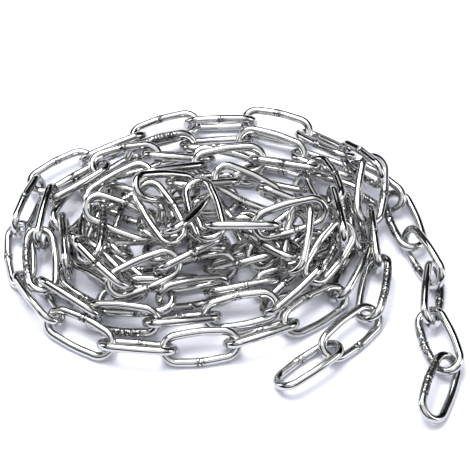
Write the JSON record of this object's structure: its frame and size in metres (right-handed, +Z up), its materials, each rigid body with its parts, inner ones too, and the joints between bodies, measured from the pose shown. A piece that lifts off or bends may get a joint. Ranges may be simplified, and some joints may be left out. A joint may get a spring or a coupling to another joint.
{
  "type": "chain heap",
  "caption": "Heap of long-link polished stainless steel chain, wound in loose courses round a tangle, with both ends trailing free.",
  "frame": {"origin": "on the floor, under the middle of the heap's box", "axes": "+X to the picture's right, +Y away from its camera, +Z up"},
  "size_m": [0.2676, 0.2278, 0.0484],
  "materials": {
    "polished_stainless_steel": "electropolished stainless steel, bright, with a weld mark on each link"
  },
  "bodies": {
    "root": {"link_00": "polished_stainless_steel", "link_01": "polished_stainless_steel", "link_02": "polished_stainless_steel", "link_03": "polished_stainless_steel", "link_04": "polished_stainless_steel", "link_05": "polished_stainless_steel", "link_06": "polished_stainless_steel", "link_07": "polished_stainless_steel", "link_08": "polished_stainless_steel", "link_09": "polished_stainless_steel", "link_10": "polished_stainless_steel", "link_11": "polished_stainless_steel", "link_12": "polished_stainless_steel", "link_13": "polished_stainless_steel", "link_14": "polished_stainless_steel", "link_15": "polished_stainless_steel", "link_16": "polished_stainless_steel", "link_17": "polished_stainless_steel", "link_18": "polished_stainless_steel", "link_19": "polished_stainless_steel", "link_20": "polished_stainless_steel", "link_21": "polished_stainless_steel", "link_28": "polished_stainless_steel", "link_29": "polished_stainless_steel", "link_33": "polished_stainless_steel", "link_34": "polished_stainless_steel", "link_35": "polished_stainless_steel", "link_52": "polished_stainless_steel", "link_53": "polished_stainless_steel", "link_54": "polished_stainless_steel", "link_57": "polished_stainless_steel", "link_60": "polished_stainless_steel", "link_68": "polished_stainless_steel", "link_92": "polished_stainless_steel", "link_93": "polished_stainless_steel", "link_94": "polished_stainless_steel", "link_95": "polished_stainless_steel", "link_96": "polished_stainless_steel", "link_97": "polished_stainless_steel", "link_98": "polished_stainless_steel", "links_22_24": "polished_stainless_steel", "links_25_27": "polished_stainless_steel", "links_30_32": "polished_stainless_steel", "links_36_38": "polished_stainless_steel", "links_39_41": "polished_stainless_steel", "links_42_44": "polished_stainless_steel", "links_45_47": "polished_stainless_steel", "links_48_51": "polished_stainless_steel", "links_55_56": "polished_stainless_steel", "links_58_59": "polished_stainless_steel", "links_61_63": "polished_stainless_steel", "links_64_67": "polished_stainless_steel", "links_69_70": "polished_stainless_steel", "links_71_79": "polished_stainless_steel", "links_80_81": "polished_stainless_steel", "links_82_83": "polished_stainless_steel", "links_84_85": "polished_stainless_steel", "links_86_87": "polished_stainless_steel", "links_88_89": "polished_stainless_steel", "links_90_91": "polished_stainless_steel"}
  },
  "joints": []
}
